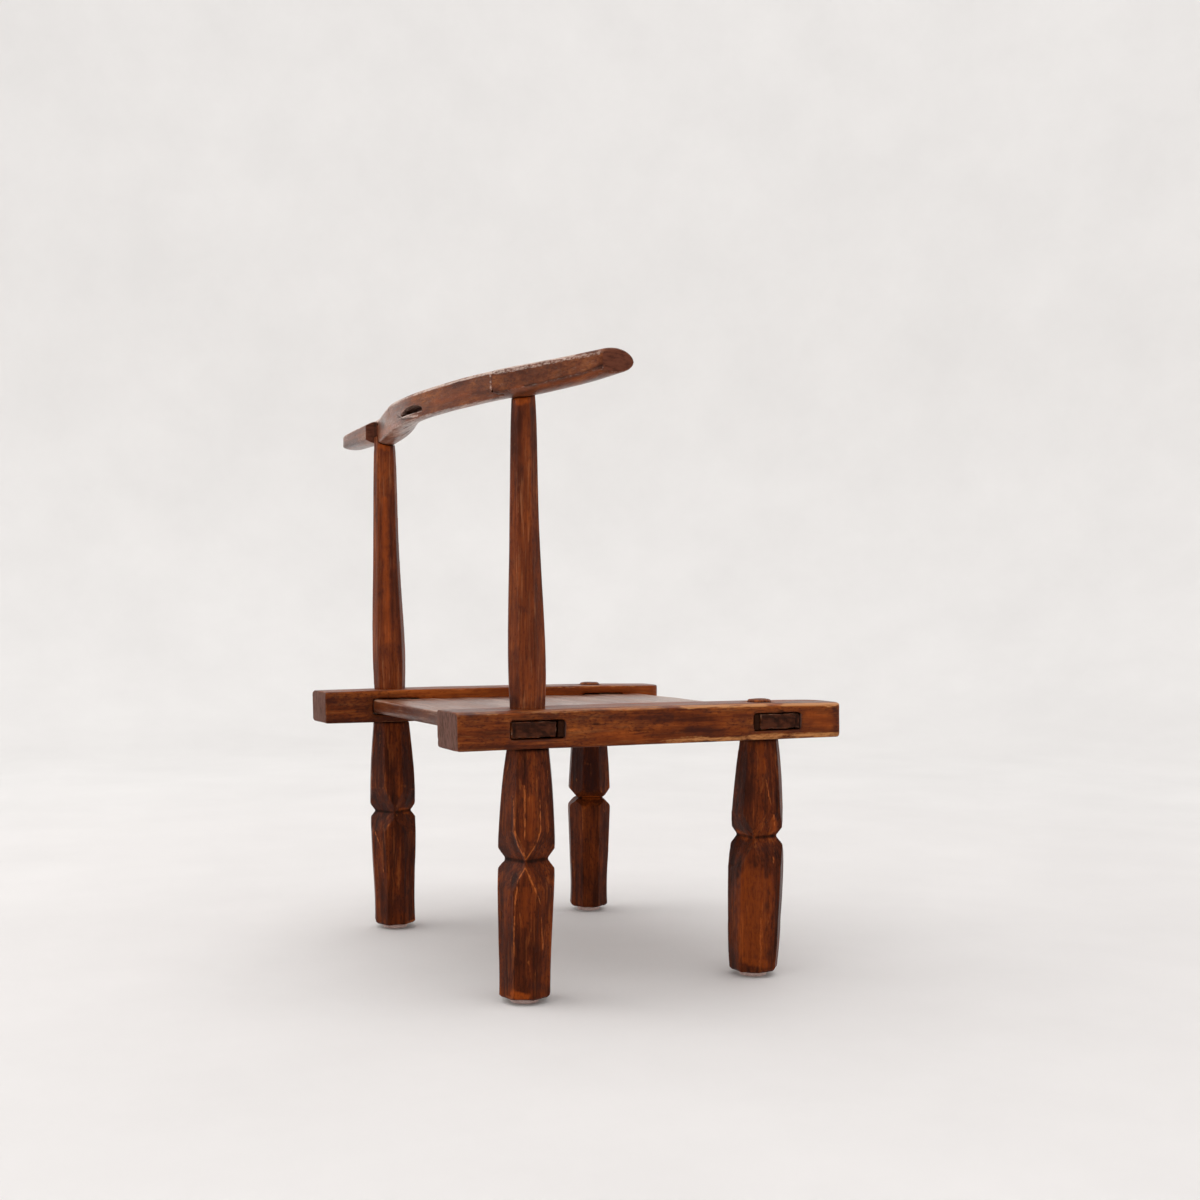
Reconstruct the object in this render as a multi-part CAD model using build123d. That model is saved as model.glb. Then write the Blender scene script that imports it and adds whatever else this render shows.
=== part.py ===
from build123d import *
import os
from collections import namedtuple
from math import cos, radians, sin

# Low ceremonial chair of hewn wood. Millimetres, +Z up, front towards -Y, sitter's right towards -X.
# The origin is on the floor under the middle of the chair.

# --- side rails ---
rail_length = 439.0
rail_width = 57.5
rail_height = 39.8
rail_underside = 250.7
rail_centre_x = 197.0
rail_stagger = 5.5
rail_camber = 1.6
rail_edge_radius = 1.5
rail_bevel_drop = 2.6
rail_bevel_reach = 8.0
rail_lower_bevel = 2.0
rail_corner_radius = 6.0
rail_inner_corner_radius = 17.0
right_rail_front_horn = 3.3
left_rail_front_horn = 7.4
left_rail_rear_horn = 3.5

# --- seat plank and its tenons ---
plank_thickness = 17.5
plank_rise = 10.6
plank_front_inset = 28.5
plank_back_inset = 49.0
plank_front_radius = 7.0
plank_back_chamfer = 5.0
plank_back_radius = 2.5
tenon_length = 50.0
tenon_root = 5.0
mortise_length = 58.0
rear_mortise_inset = 56.5
front_mortise_inset = 48.5
tenon_recess = 1.2
mortise_clearance = 0.15
wedge_recess = 2.0
wedge_depth = 46.0
wedge_clearance = 0.2

# --- legs ---
glide_thickness = 5.0
glide_diameter = 29.0
glide_edge_bevel = 1.2
head_apothem = 20.9
head_taper_apothem = 24.6
head_taper_drop = 32.0
shoulder_apothem = 28.7
shoulder_above_notch = 17.0
calf_apothem = 28.9
calf_below_notch = 18.0
foot_apothem = 25.9
foot_bevel = 3.0
waist_apothem = 15.6
notch_reach = 29.5
notch_rise = 37.0
notch_fall = 31.0
notch_bulge_reach = 22.6
notch_bulge_rise = 15.0
notch_bulge_fall = 13.0
front_head_inset = 83.5
rear_head_inset = 84.0
front_right_notch = 147.5
front_left_notch = 145.0
rear_right_notch = 140.5
rear_left_notch = 141.5
front_right_foot_shift = 6.5
rear_left_foot_shift = -10.0
rear_right_head_shift = -2.2
rear_left_head_shift = -3.6
front_tenon_diameter = 27.0
front_tenon_stand = 2.6
front_tenon_bevel = 2.0
socket_depth = 40.0
socket_spare = 2.0
tenon_clearance = 0.1

# --- back posts ---
post_tenon_diameter = 26.0
post_foot_apothem = 17.6
post_swell_apothem = 18.4
post_swell_height = 14.0
post_foot_shift = -1.6
post_middle_apothem = 15.7
post_neck_apothem = 13.2
post_neck_drop = 22.0
post_top_apothem = 11.6
post_lean_back = 5.4
post_splay = 3.0
post_overshoot = 10.0
right_post_twist = 24.0
left_post_twist = 10.0
crest_tenon_diameter = 18.0
crest_tenon_height = 24.0
crest_socket_spare = 1.5

# --- crest rail ---
right_crest_height = 596.0
left_crest_height = 586.0
slat_lift = 2.4
slat_height = 28.5
slat_depth = 36.0
slat_bow = 47.5
slat_crown = 1.5
slat_belly = 4.0
right_arm_start = -1.0
right_arm_length = 122.0
right_arm_back = 38.5
right_arm_sweep = 57.0
right_arm_lift = 3.5
right_arm_rise = 11.0
right_arm_height = 22.0
right_arm_depth = 46.0
right_arm_round = 5.0
right_tip_reach = 5.0
right_tip_inset = 3.5
left_arm_start = 10.0
left_arm_length = 96.0
left_arm_back = 27.5
left_arm_sweep = 2.5
left_arm_lift = 6.0
left_arm_rise = -1.0
left_arm_height = 18.0
left_arm_depth = 40.0
left_arm_round = 6.0
left_tip_reach = 20.0
left_tip_inset = 9.0
arris_bevel = 2.0
arris_rise = 1.2
void_centre_x = 2.0
void_length = 67.0
void_height = 7.5
void_depth = 14.0
void_lift = 9.5

# Flats around a leg or post, and the shares of a section's reach and rounding that shape its curves.
hewn_sides = 8
curve_reach = 0.8
curve_swell = 1.6

rail_top = rail_underside + rail_height
rail_inner = rail_centre_x - rail_width / 2
rail_outer = rail_centre_x + rail_width / 2
plank_underside = rail_underside + plank_rise
plank_top = plank_underside + plank_thickness
rear_head_y = rail_length / 2 - rear_head_inset

# Each rail runs on past its last joint by its own horns, beyond the length that places the joints.
Rail = namedtuple("Rail", "side front_horn rear_horn")
right_rail = Rail(-1, right_rail_front_horn, 0.0)
left_rail = Rail(1, left_rail_front_horn, left_rail_rear_horn)

# A leg's girths are shares of the apothems above, below its notch, at its shoulder and at its head.
# Its head and foot shifts are how far forward or back it was hewn off the line of its joint.
Leg = namedtuple("Leg", "side front twist calf_girth shoulder_girth head_girth notch head_shift foot_shift")
legs = {
    "front_right_leg": Leg(-1, True, 140.0, 1.0, 0.95, 0.95, front_right_notch, 0.0, front_right_foot_shift),
    "front_left_leg": Leg(1, True, 115.0, 0.93, 0.93, 0.93, front_left_notch, 0.0, 0.0),
    "rear_right_leg": Leg(-1, False, 155.0, 0.99, 0.99, 1.01, rear_right_notch, rear_right_head_shift, 0.0),
    "rear_left_leg": Leg(
        1, False, 165.0, 0.94, 0.95, 1.02, rear_left_notch, rear_left_head_shift, rear_left_foot_shift
    ),
}

# A cross-section of the crest rail: back is the Y of its flat back, low and high are its heights there.
Slice = namedtuple("Slice", "x back low high depth crown belly fullness")

# A cut through the slat between the posts. All but fullness are shares: of the posts' distance from
# the middle, and of the slat's bow, height, depth and belly.
SlatCut = namedtuple("SlatCut", "across bow height depth belly fullness")
slat_cuts = (
    SlatCut(-1.09, 0.24, 0.93, 0.67, 0.4, 0.85),
    SlatCut(-0.84, 0.505, 0.965, 0.56, 0.4, 0.85),
    SlatCut(-0.46, 0.83, 0.965, 0.56, 0.4, 0.85),
    SlatCut(0.0, 1.0, 0.965, 0.58, 0.5, 0.85),
    SlatCut(0.305, 0.95, 1.0, 0.83, 0.63, 0.8),
    SlatCut(0.61, 0.76, 1.015, 1.0, 1.0, 0.75),
    SlatCut(1.076, 0.39, 1.0, 0.89, 1.0, 0.75),
)

# A cut through an arm, as shares of its length, sweep, rise, height, depth and rounding.
ArmCut = namedtuple("ArmCut", "out sweep rise height depth crown belly")
right_arm_cuts = (
    ArmCut(0.0, 0.0, 0.0, 1.0, 1.0, 1.0, 1.2),
    ArmCut(0.54, 0.545, 0.455, 0.93, 0.89, 1.0, 1.4),
    ArmCut(1.0, 1.0, 1.0, 0.795, 0.785, 1.2, 1.0),
)
left_arm_cuts = (
    ArmCut(0.0, 0.0, 0.0, 1.0, 1.0, 1.33, 1.0),
    ArmCut(0.55, 0.6, 0.5, 0.945, 0.95, 0.83, 0.83),
    ArmCut(1.0, 1.0, 1.0, 0.86, 0.9, 0.67, 0.67),
)
arm_fullness = 0.6

Arm = namedtuple("Arm", "side cuts start length back sweep lift rise height depth rounding tip_reach tip_inset")
right_arm = Arm(
    side=-1,
    cuts=right_arm_cuts,
    start=right_arm_start,
    length=right_arm_length,
    back=right_arm_back,
    sweep=right_arm_sweep,
    lift=right_arm_lift,
    rise=right_arm_rise,
    height=right_arm_height,
    depth=right_arm_depth,
    rounding=right_arm_round,
    tip_reach=right_tip_reach,
    tip_inset=right_tip_inset,
)
left_arm = Arm(
    side=1,
    cuts=left_arm_cuts,
    start=left_arm_start,
    length=left_arm_length,
    back=left_arm_back,
    sweep=left_arm_sweep,
    lift=left_arm_lift,
    rise=left_arm_rise,
    height=left_arm_height,
    depth=left_arm_depth,
    rounding=left_arm_round,
    tip_reach=left_tip_reach,
    tip_inset=left_tip_inset,
)
tip_angles = (0, 30, 55, 75)


def rail_middle(side):
    """Y of a rail's middle: the right rail stands forward of the left one."""
    return side * rail_stagger


def head_centre(side, front):
    """X and Y of the upright that passes through a rail."""
    offset = front_head_inset - rail_length / 2 if front else rear_head_y
    return side * rail_centre_x, rail_middle(side) + offset


def mortise_span(side, front):
    """Y range of a mortise, from its rear end to its front end."""
    if front:
        front_end = rail_middle(side) - rail_length / 2 + front_mortise_inset
        return front_end + mortise_length, front_end
    rear_end = rail_middle(side) + rail_length / 2 - rear_mortise_inset
    return rear_end, rear_end - mortise_length


def upright_hole(side, front):
    """Bore through a rail and through the seat tenon inside it."""
    diameter = front_tenon_diameter if front else post_tenon_diameter
    x, y = head_centre(side, front)
    bore = Cylinder(diameter / 2 + tenon_clearance, 4 * rail_height)
    return Pos(x, y, rail_underside + rail_height / 2) * bore


def side_box(side, x_inner, x_outer, y_a, y_b, z_low, z_high):
    """Box on one side of the chair, given by its distances from the middle."""
    size = (x_outer - x_inner, abs(y_a - y_b), z_high - z_low)
    centre = (side * (x_inner + x_outer) / 2, (y_a + y_b) / 2, (z_low + z_high) / 2)
    return Pos(*centre) * Box(*size)


def rail_section():
    """Cross-section of a rail below the origin, its outer side towards +X and bevelled by wear."""
    across = rail_width / 2
    outline = Polyline(
        (-across, -2 * rail_height),
        (-across, 0),
        (across - rail_bevel_reach, 0),
        (across, -rail_bevel_drop),
        (across, -2 * rail_height),
        close=True,
    )
    return make_face(outline)


def make_rail(shape):
    side = shape.side
    front_y = -rail_length / 2 - shape.front_horn
    rear_y = rail_length / 2 + shape.rear_horn
    end_top = rail_top - rail_camber
    crown = Plane.YZ * ThreePointArc((front_y, end_top), ((front_y + rear_y) / 2, rail_top), (rear_y, end_top))
    start = Plane(origin=crown @ 0, x_dir=(side, 0, 0), z_dir=(0, -side, 0))
    bar = sweep(start * rail_section(), path=crown)
    blank = side_box(1, -rail_width / 2, rail_width / 2, front_y, rear_y, rail_underside, rail_top)
    rail = Pos(side * rail_centre_x, rail_middle(side), 0) * (bar & blank)
    front_inner = Vector(side * rail_inner, rail_middle(side) + front_y, rail_underside)
    rail = fillet(rail.edges().filter_by(Axis.Z).sort_by_distance(front_inner)[1:], rail_corner_radius)
    rail = fillet(rail.edges().filter_by(Axis.Z).sort_by_distance(front_inner)[0], rail_inner_corner_radius)
    top_edges = sorted(rail.faces().sort_by(Axis.Z)[-1].edges(), key=lambda edge: abs(edge.center().X))
    rail = fillet(top_edges[:-1], rail_edge_radius)
    rail = chamfer(rail.faces().sort_by(Axis.Z)[0].edges(), rail_lower_bevel)
    for front in (True, False):
        rear_end, front_end = mortise_span(side, front)
        rail -= side_box(
            side,
            rail_inner - rail_width,
            rail_outer + rail_width,
            rear_end,
            front_end,
            plank_underside - mortise_clearance,
            plank_top + mortise_clearance,
        )
        rail -= upright_hole(side, front)
    return rail


def tenon_span(side, front):
    """Y range of a seat tenon: it fills its mortise but for the wedge at the end nearer the middle."""
    rear_end, front_end = mortise_span(side, front)
    if front:
        return front_end + tenon_length + mortise_clearance, front_end + mortise_clearance
    return rear_end - mortise_clearance, rear_end - tenon_length - mortise_clearance


def make_plank():
    half = rail_inner - mortise_clearance
    front_y = plank_front_inset - rail_length / 2
    back_y = rail_length / 2 - plank_back_inset
    body = side_box(1, -half, half, front_y, back_y, plank_underside, plank_top)
    cross_edges = body.edges().filter_by(Axis.X)
    front_edges = cross_edges.sort_by(Axis.Y)[:2]
    body = fillet(front_edges, plank_front_radius)
    lower_back = body.edges().filter_by(Axis.X).group_by(Axis.Y)[-1].sort_by(Axis.Z)[0]
    body = chamfer(lower_back, plank_back_chamfer)
    upper_back = body.edges().filter_by(Axis.X).group_by(Axis.Y)[-1].sort_by(Axis.Z)[-1]
    body = fillet(upper_back, plank_back_radius)
    for side in (-1, 1):
        for front in (True, False):
            rear_end, front_end = tenon_span(side, front)
            body += side_box(
                side,
                half - tenon_root,
                rail_outer - tenon_recess,
                rear_end,
                front_end,
                plank_underside,
                plank_top,
            )
            body -= upright_hole(side, front)
    return body


def make_wedge(side, front):
    rear_end, front_end = mortise_span(side, front)
    tenon_rear, tenon_front = tenon_span(side, front)
    if front:
        y_a = rear_end - wedge_clearance
        y_b = tenon_rear + wedge_clearance
    else:
        y_a = front_end + wedge_clearance
        y_b = tenon_front - wedge_clearance
    outer = rail_outer - wedge_recess
    return side_box(side, outer - wedge_depth, outer, y_a, y_b, plank_underside, plank_top)


def hewn_section(x, y, z, apothem, twist):
    """Polygon with one flat facing the twist direction."""
    turn = twist - 180.0 / hewn_sides
    return Pos(x, y, z) * RegularPolygon(apothem, hewn_sides, major_radius=False, rotation=turn)


def notch_cutter(x, y, z, twist):
    """Groove across one side of a leg, with both of its banks curving outwards."""
    banks = (
        ThreePointArc((waist_apothem, 0), (notch_bulge_reach, notch_bulge_rise), (notch_reach, notch_rise))
        + Line((notch_reach, notch_rise), (2 * notch_reach, notch_rise))
        + Line((2 * notch_reach, notch_rise), (2 * notch_reach, -notch_fall))
        + Line((2 * notch_reach, -notch_fall), (notch_reach, -notch_fall))
        + ThreePointArc((notch_reach, -notch_fall), (notch_bulge_reach, -notch_bulge_fall), (waist_apothem, 0))
    )
    groove = extrude(Plane.XZ * make_face(banks), 2 * notch_reach, both=True)
    return Pos(x, y, z) * Rot(0, 0, twist) * groove


def make_leg(leg):
    head_x, head_y = head_centre(leg.side, leg.front)
    foot_z = glide_thickness
    stations = (
        (foot_z + foot_bevel, foot_apothem * leg.calf_girth),
        (leg.notch - calf_below_notch, calf_apothem * leg.calf_girth),
        (leg.notch + shoulder_above_notch, shoulder_apothem * leg.shoulder_girth),
        (rail_underside - head_taper_drop, head_taper_apothem * (leg.shoulder_girth + leg.head_girth) / 2),
        (rail_underside, head_apothem * leg.head_girth),
    )

    def shift_at(z):
        drop = (rail_underside - z) / (rail_underside - foot_z)
        return leg.head_shift + (leg.foot_shift - leg.head_shift) * drop

    def slice_at(z, apothem):
        return hewn_section(head_x, head_y + shift_at(z), z, apothem, leg.twist)

    body = loft([slice_at(z, apothem) for z, apothem in stations])
    foot_reach = foot_apothem * leg.calf_girth
    body += loft([slice_at(foot_z, foot_reach - foot_bevel), slice_at(foot_z + foot_bevel, foot_reach)])
    for quarter in range(4):
        turn = leg.twist + 45 + 90 * quarter
        body -= notch_cutter(head_x, head_y + shift_at(leg.notch), leg.notch, turn)
    if leg.front:
        height = rail_height + front_tenon_stand
        tenon = Cylinder(front_tenon_diameter / 2, height, align=(Align.CENTER, Align.CENTER, Align.MIN))
        tenon = chamfer(tenon.edges().sort_by(Axis.Z)[-1], front_tenon_bevel)
        body += Pos(head_x, head_y, rail_underside) * tenon
    else:
        depth = socket_depth + socket_spare
        socket = Cylinder(
            post_tenon_diameter / 2 + tenon_clearance, depth, align=(Align.CENTER, Align.CENTER, Align.MAX)
        )
        body -= Pos(head_x, head_y, rail_underside) * socket
    return body


def make_glide(leg):
    x, y = head_centre(leg.side, leg.front)
    pad = Cylinder(glide_diameter / 2, glide_thickness, align=(Align.CENTER, Align.CENTER, Align.MIN))
    pad = chamfer(pad.edges().sort_by(Axis.Z)[0], glide_edge_bevel)
    return Pos(x, y + leg.foot_shift, 0) * pad


def post_axis(side):
    """Foot and top of a back post's leaning axis."""
    x, y = head_centre(side, False)
    height = right_crest_height if side < 0 else left_crest_height
    return Vector(x, y, rail_top), Vector(x + side * post_splay, y + post_lean_back, height)


def crest_tenon(side, radius, height):
    """Round tenon in line with a post, from under the crest rail up into it."""
    foot, top = post_axis(side)
    axis = (top - foot).normalized()
    start = Plane(origin=top - axis * post_overshoot, z_dir=axis)
    return start * Cylinder(radius, height + post_overshoot, align=(Align.CENTER, Align.CENTER, Align.MIN))


def make_post(side, crest):
    foot, top = post_axis(side)
    rise = top.Z - foot.Z
    twist = right_post_twist if side < 0 else left_post_twist
    stations = (
        (0.0, post_foot_apothem, post_foot_shift),
        (post_swell_height, post_swell_apothem, post_foot_shift),
        (rise / 2, post_middle_apothem, 0.0),
        (rise - post_neck_drop, post_neck_apothem, 0.0),
        (rise + post_overshoot, post_top_apothem, 0.0),
    )
    slices = []
    for height, apothem, shift in stations:
        centre = foot + (top - foot) * (height / rise)
        slices.append(hewn_section(centre.X, centre.Y + shift, centre.Z, apothem, twist))
    post = loft(slices) - crest
    post = post.solids().sort_by(Axis.Z)[0]
    post += crest_tenon(side, crest_tenon_diameter / 2, crest_tenon_height)
    tenon_drop = rail_height + socket_depth
    tenon = Cylinder(post_tenon_diameter / 2, tenon_drop, align=(Align.CENTER, Align.CENTER, Align.MAX))
    return post + Pos(foot.X, foot.Y, rail_top) * tenon


def crest_section(cut):
    """Flat back with worn arrises, then one rounded run over the top, the nose and the underside."""
    back, low, high = cut.back, cut.low, cut.high
    middle = (low + high) / 2
    nose = (back - cut.depth, middle)
    top_start = (back - arris_bevel, high + arris_rise)
    low_start = (back - arris_bevel, low - arris_rise)
    turn_y = back - arris_bevel - curve_reach * cut.fullness * (cut.depth - arris_bevel)
    lift = cut.fullness * (high - middle + cut.crown)
    sink = cut.fullness * (middle - low + cut.belly)
    outline = (
        Line((back, low), (back, high))
        + Line((back, high), top_start)
        + Bezier(top_start, (turn_y, high + cut.crown * curve_swell), (nose[0], middle + lift), nose)
        + Bezier(nose, (nose[0], middle - sink), (turn_y, low - cut.belly * curve_swell), low_start)
        + Line(low_start, (back, low))
    )
    return Pos(cut.x, 0, 0) * (Plane.YZ * make_face(outline))


def slat_slice(cut):
    """Cross-section of the slat, standing over the line from one post's shoulder to the other's."""
    right_share = (1 - cut.across) / 2
    low = right_share * right_crest_height + (1 - right_share) * left_crest_height + slat_lift
    return Slice(
        x=cut.across * rail_centre_x,
        back=rear_head_y + cut.bow * slat_bow,
        low=low,
        high=low + cut.height * slat_height,
        depth=cut.depth * slat_depth,
        crown=slat_crown,
        belly=cut.belly * slat_belly,
        fullness=cut.fullness,
    )


def arm_slice(arm, cut):
    """Cross-section of an arm, set out from the post below its shoulder."""
    post_x, post_y = head_centre(arm.side, False)
    post_height = right_crest_height if arm.side < 0 else left_crest_height
    low = post_height + arm.lift + cut.rise * arm.rise
    return Slice(
        x=post_x + arm.side * (arm.start + cut.out * arm.length),
        back=post_y + arm.back - cut.sweep * arm.sweep,
        low=low,
        high=low + cut.height * arm.height,
        depth=cut.depth * arm.depth,
        crown=cut.crown * arm.rounding,
        belly=cut.belly * arm.rounding,
        fullness=arm_fullness,
    )


def make_arm(arm):
    """Thick end of the crest rail, square at its shoulder and rounded over at its tip."""
    slices = [arm_slice(arm, cut) for cut in arm.cuts]
    before, end = slices[-2:]
    slope = (end.back - before.back) / (end.x - before.x)
    domed = []
    for angle in tip_angles:
        step = arm.side * arm.tip_reach * sin(radians(angle))
        inset = arm.tip_inset * (1 - cos(radians(angle)))
        domed.append(
            end._replace(
                x=end.x + step,
                back=end.back + slope * step - inset,
                low=end.low + inset,
                high=end.high - inset,
                depth=end.depth - 2 * inset,
            )
        )
    straight = loft([crest_section(cut) for cut in slices])
    return straight + loft([crest_section(cut) for cut in domed], ruled=True)


def make_crest():
    slat = [slat_slice(cut) for cut in slat_cuts]
    crest = loft([crest_section(cut) for cut in slat]) + make_arm(right_arm) + make_arm(left_arm)
    mouth = Ellipse(void_length / 2, void_height) & Pos(0, void_height) * Rectangle(void_length, 2 * void_height)
    floor_y = rear_head_y + slat_bow - void_depth
    base = (right_crest_height + left_crest_height) / 2 + void_lift
    pocket = extrude(Plane.XZ * mouth, -2 * void_depth)
    return crest - Pos(void_centre_x, floor_y, base) * pocket


def main():
    os.makedirs("parts", exist_ok=True)
    pieces = {}
    pieces["right_rail"] = make_rail(right_rail)
    pieces["left_rail"] = make_rail(left_rail)
    pieces["seat_plank"] = make_plank()
    for name, leg in legs.items():
        pieces[name] = make_leg(leg)
        pieces[name.replace("leg", "glide")] = make_glide(leg)
    for side, word in ((-1, "right"), (1, "left")):
        for front, place in ((True, "front"), (False, "rear")):
            pieces[f"{place}_{word}_wedge"] = make_wedge(side, front)
    crest = make_crest()
    pieces["right_back_post"] = make_post(-1, crest)
    pieces["left_back_post"] = make_post(1, crest)
    for side in (-1, 1):
        radius = crest_tenon_diameter / 2 + tenon_clearance
        crest -= crest_tenon(side, radius, crest_tenon_height + crest_socket_spare)
    pieces["crest_rail"] = crest
    for name, piece in pieces.items():
        export_step(piece, f"parts/{name}.step")
        print(name, len(piece.solids()), round(piece.volume / 1000, 1), piece.bounding_box())


main()
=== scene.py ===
import math
from collections import namedtuple

import bmesh
import bpy
import numpy as np
from mathutils import Matrix, Vector
from mathutils.bvhtree import BVHTree


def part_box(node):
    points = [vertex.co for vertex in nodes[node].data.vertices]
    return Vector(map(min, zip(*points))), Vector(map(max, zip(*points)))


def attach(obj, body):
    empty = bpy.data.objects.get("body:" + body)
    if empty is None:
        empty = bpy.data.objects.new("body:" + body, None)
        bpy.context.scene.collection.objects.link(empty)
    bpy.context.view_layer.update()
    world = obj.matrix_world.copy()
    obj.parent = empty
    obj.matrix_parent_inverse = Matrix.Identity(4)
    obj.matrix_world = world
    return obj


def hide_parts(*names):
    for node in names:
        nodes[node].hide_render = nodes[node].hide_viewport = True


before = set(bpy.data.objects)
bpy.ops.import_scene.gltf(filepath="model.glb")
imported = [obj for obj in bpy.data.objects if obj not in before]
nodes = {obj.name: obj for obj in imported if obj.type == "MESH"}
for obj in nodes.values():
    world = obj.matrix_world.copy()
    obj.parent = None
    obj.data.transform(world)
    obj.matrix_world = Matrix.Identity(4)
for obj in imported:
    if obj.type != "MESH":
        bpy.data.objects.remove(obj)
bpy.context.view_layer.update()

# Low chair of hewn hardwood. Metres, +Z up, front towards -Y, sitter's right towards -X. The near side
# is the sitter's right, which the photo shows.
# Each wooden piece is a dense copy of its CAD solid, hewn, worn, chipped and cracked by the
# functions below, and it carries point attributes that its material reads:
#   flow             position with the grain along Z, in metres
#   wear   1 where rubbed pale, and where painted sheen and highlights lighten the wood
#   dirt  1 in cracks, hollows and joints, and in a painted shadow where a leg meets its rail
#   ends             1 on end grain
#   polish           share of the thin film of oil
#   smoke  1 in dark handled patches, and in painted shade
#   amber            1 in warm, bare patches, and in painted warm bounce light

MM = 0.001
AXES = {"x": 0, "y": 1, "z": 2}
# A mortise in a rail holds a seat tenon and its wedge, one behind the other along Y.
MORTISE_LENGTH = 0.058
RAIL_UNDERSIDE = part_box("right_rail")[0].z
RAIL_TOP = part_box("right_rail")[1].z

# The camera: metres and radians. Pixels are those of a square frame with sides of FRAME_SIDE.
CAMERA_PLACE = Vector((-1.6084, 0.7427, 0.3911))
CAMERA_YAW = 0.45707
CAMERA_PITCH = 0.00386
CAMERA_ROLL = 0.00394
FRAME_SIDE = 1200
FOCAL_PIXELS = 1550
SENSOR_WIDTH = 36.0
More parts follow.
